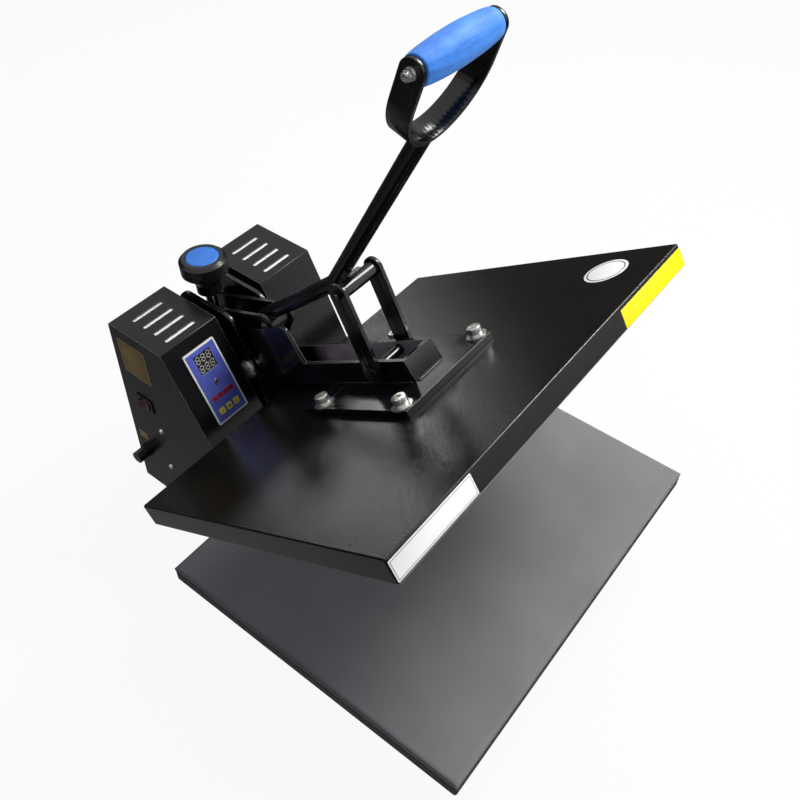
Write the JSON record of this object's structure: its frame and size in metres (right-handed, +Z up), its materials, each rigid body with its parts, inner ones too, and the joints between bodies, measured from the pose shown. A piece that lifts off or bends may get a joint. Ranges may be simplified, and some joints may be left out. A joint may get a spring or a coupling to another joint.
{
  "type": "clamshell heat press",
  "caption": "Clamshell heat press standing open: padded lower platen, hinged heated platen, toggle lever with grip, pressure knob and control housings.",
  "frame": {"origin": "on the table, under the middle of the machine's bounding box", "axes": "+X along the platens to the right, +Y from the front edge to the hinge, +Z up"},
  "size_m": [0.5, 0.6341, 0.7465],
  "materials": {
    "black_paint": "gloss black paint on steel",
    "black_coat": "fine orange-peel black powder coat",
    "platen_metal": "black coated cast aluminium",
    "heating_aluminium": "dark non-stick coat on cast aluminium",
    "steel": "plain steel",
    "zinc_steel": "bright zinc plate",
    "screw_chrome": "bright turned steel",
    "brass": "plain brass",
    "rubber": "moulded black rubber",
    "silicone": "matte dark silicone foam",
    "insulation": "pressed mineral board",
    "black_plastic": "moulded black plastic",
    "blue_plastic": "moulded blue plastic",
    "blue_foam": "blue foam rubber",
    "red_plastic": "clear red plastic",
    "panel_plastic": "printed film on plastic",
    "display_glass": "smoked window",
    "lamp_plastic": "clear lamp lenses",
    "board_plastic": "circuit board",
    "key_plastic": "moulded light plastic"
  },
  "bodies": {
    "base": {"base_plates": "black_paint", "base_rails": "black_paint", "rubber_feet": "rubber", "lower_platen": "platen_metal", "silicone_pad": "silicone", "platen_beams": "black_paint", "platen_posts": "black_paint", "column_plate_left": "black_paint", "column_plate_right": "black_paint", "column_back_plate": "black_paint", "hinge_shaft": "steel", "hinge_collars": "steel", "tilt_bolt": "zinc_steel", "tilt_nuts": "zinc_steel", "housing_spacers": "steel", "screw_block": "steel", "housing_left": "black_coat", "housing_right": "black_coat", "back_panels": "black_coat", "control_panel": "panel_plastic", "display_window": "display_glass", "indicator_lamps": "lamp_plastic", "controller_board": "board_plastic", "switch_body": "black_plastic", "fuse_holder": "black_plastic", "fuse_cap": "black_plastic", "cord_gland": "black_plastic", "side_screws": "zinc_steel", "solid_state_relay": "black_plastic", "terminal_block": "black_plastic"},
    "platen": {"heating_plate": "heating_aluminium", "platen_cover": "black_coat", "heating_element": "steel", "insulation_board": "insulation", "thermostat_probe": "brass", "bolt_plate": "black_paint", "platen_arm": "black_paint", "hinge_sleeve": "steel", "link_pin": "zinc_steel", "plate_bolts": "zinc_steel"},
    "pressure_arm": {"pressure_arm": "black_paint", "trunnion": "steel", "lever_pin": "zinc_steel"},
    "knob": {"pressure_screw": "screw_chrome", "pressure_knob": "black_plastic", "knob_cap": "blue_plastic"},
    "lever": {"lever_tube": "black_paint", "cross_tube": "black_paint", "handle_strap": "black_paint", "handle_grip": "blue_foam", "grip_bolt": "zinc_steel", "grip_nuts": "zinc_steel"},
    "links": {"link_left": "black_paint", "link_right": "black_paint", "link_studs": "zinc_steel"},
    "rocker": {"rocker": "red_plastic"},
    "key_left": {"key_left": "key_plastic"},
    "key_middle": {"key_middle": "key_plastic"},
    "key_right": {"key_right": "key_plastic"}
  },
  "joints": [
    {"name": "platen_hinge", "type": "hinge", "parent": "base", "child": "platen", "pos_m": [0, 0.2208, 0.1635], "axis": [1, 0, 0], "range_deg": [0, 33.34], "stiffness_Nm_per_rad": 130, "springref_deg": -25.04},
    {"name": "lever_pivot", "type": "hinge", "parent": "pressure_arm", "child": "lever", "pos_m": [0, 0.1395, 0.3236], "axis": [1, 0, 0], "range_deg": [0, 71.73]},
    {"name": "link_pivot", "type": "hinge", "parent": "platen", "child": "links", "pos_m": [0, -0.03415, 0.36785], "axis": [1, 0, 0], "range_deg": [-65.57, 0]},
    {"name": "knob_turn", "type": "hinge", "parent": "base", "child": "knob", "pos_m": [0, 0.2492, 0.254], "axis": [0, 0.0698, 0.9976], "range_deg": [-540, 540]},
    {"name": "arm_tilt", "type": "hinge", "parent": "base", "child": "pressure_arm", "pos_m": [0, 0.166, 0.247], "axis": [1, 0, 0], "range_deg": [-1.56, 1.56]},
    {"name": "rocker_pivot", "type": "hinge", "parent": "base", "child": "rocker", "pos_m": [-0.1264, 0.259, 0.203], "axis": [0, 0, 1], "range_deg": [-20, 0]},
    {"name": "key_left_press", "type": "slide", "parent": "base", "child": "key_left", "axis": [0, 0.8829, -0.4695], "range_m": [0, 0.0006], "stiffness_N_per_m": 800, "springref_m": -0.001},
    {"name": "key_middle_press", "type": "slide", "parent": "base", "child": "key_middle", "axis": [0, 0.8829, -0.4695], "range_m": [0, 0.0006], "stiffness_N_per_m": 800, "springref_m": -0.001},
    {"name": "key_right_press", "type": "slide", "parent": "base", "child": "key_right", "axis": [0, 0.8829, -0.4695], "range_m": [0, 0.0006], "stiffness_N_per_m": 800, "springref_m": -0.001}
  ],
  "couplings": [
    {"joint": "lever_pivot", "follows": "platen_hinge", "ratio": 2.1484},
    {"joint": "link_pivot", "follows": "platen_hinge", "ratio": -1.9636},
    {"joint": "arm_tilt", "follows": "knob_turn", "ratio": -0.002859}
  ]
}
